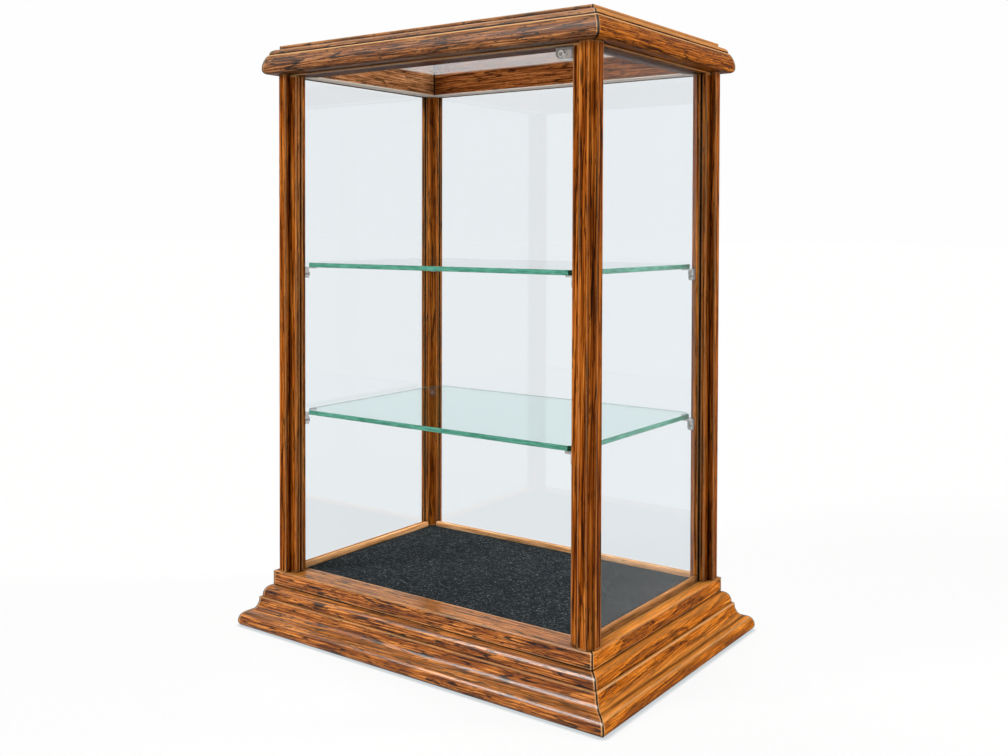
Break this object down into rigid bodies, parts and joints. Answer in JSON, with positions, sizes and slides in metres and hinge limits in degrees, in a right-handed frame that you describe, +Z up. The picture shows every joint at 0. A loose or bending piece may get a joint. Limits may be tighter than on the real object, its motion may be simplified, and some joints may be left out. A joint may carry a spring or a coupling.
{
  "type": "tabletop display cabinet",
  "caption": "Tabletop display cabinet: moulded oak plinth and crown on corner posts, glazed sides, back and top, open front, felt floor and lift-off glass shelves.",
  "frame": {"origin": "middle of the footprint, on the surface that the plinth stands on", "axes": "+Z up, the open front faces -Y, the cabinet's right side, seen from the front, faces +X"},
  "size_m": [0.454, 0.322, 0.625],
  "materials": {
    "oak": "stained and lacquered oak, satin",
    "oak_lip": "light oak, satin lacquer",
    "beech": "plain",
    "plywood": "plain",
    "felt": "felt",
    "pane_glass": "clear float glass",
    "shelf_glass": "float glass with ground edges",
    "clear_plastic": "clear moulded plastic",
    "white_plastic": "moulded",
    "steel": "zinc plated"
  },
  "bodies": {
    "cabinet": {"plinth_front": "oak", "plinth_back": "oak", "plinth_left": "oak", "plinth_right": "oak", "plinth_biscuits": "beech", "floor_board": "plywood", "floor_screws": "steel", "felt_floor": "felt", "lip_left": "oak_lip", "lip_right": "oak_lip", "lip_back": "oak_lip", "post_front_left": "oak", "post_front_right": "oak", "post_back_left": "oak", "post_back_right": "oak", "lower_dowels": "beech", "upper_dowels": "beech", "crown_front": "oak", "crown_back": "oak", "crown_left": "oak", "crown_right": "oak", "crown_biscuits": "beech", "frame_front": "oak", "frame_back": "oak", "frame_left": "oak", "frame_right": "oak", "top_glass": "pane_glass", "pane_left": "pane_glass", "pane_right": "pane_glass", "pane_back": "pane_glass", "support_lower_front_left": "clear_plastic", "support_lower_front_right": "clear_plastic", "support_lower_back_left": "clear_plastic", "support_lower_back_right": "clear_plastic", "support_upper_front_left": "clear_plastic", "support_upper_front_right": "clear_plastic", "support_upper_back_left": "clear_plastic", "support_upper_back_right": "clear_plastic", "support_nails": "steel", "front_catch": "clear_plastic", "catch_screw": "steel"},
    "lower_shelf": {"shelf_lower": "shelf_glass"},
    "upper_shelf": {"shelf_upper": "shelf_glass"},
    "roller": {"catch_roller": "white_plastic"}
  },
  "joints": [
    {"name": "lower_shelf_lift", "type": "slide", "parent": "cabinet", "child": "lower_shelf", "axis": [0, 0, 1], "range_m": [0, 0.04]},
    {"name": "upper_shelf_lift", "type": "slide", "parent": "cabinet", "child": "upper_shelf", "axis": [0, 0, 1], "range_m": [0, 0.04]},
    {"name": "catch_roller_turn", "type": "hinge", "parent": "cabinet", "child": "roller", "pos_m": [0.15485, -0.1146, 0.58675], "axis": [0, 1, 0], "continuous": true}
  ]
}
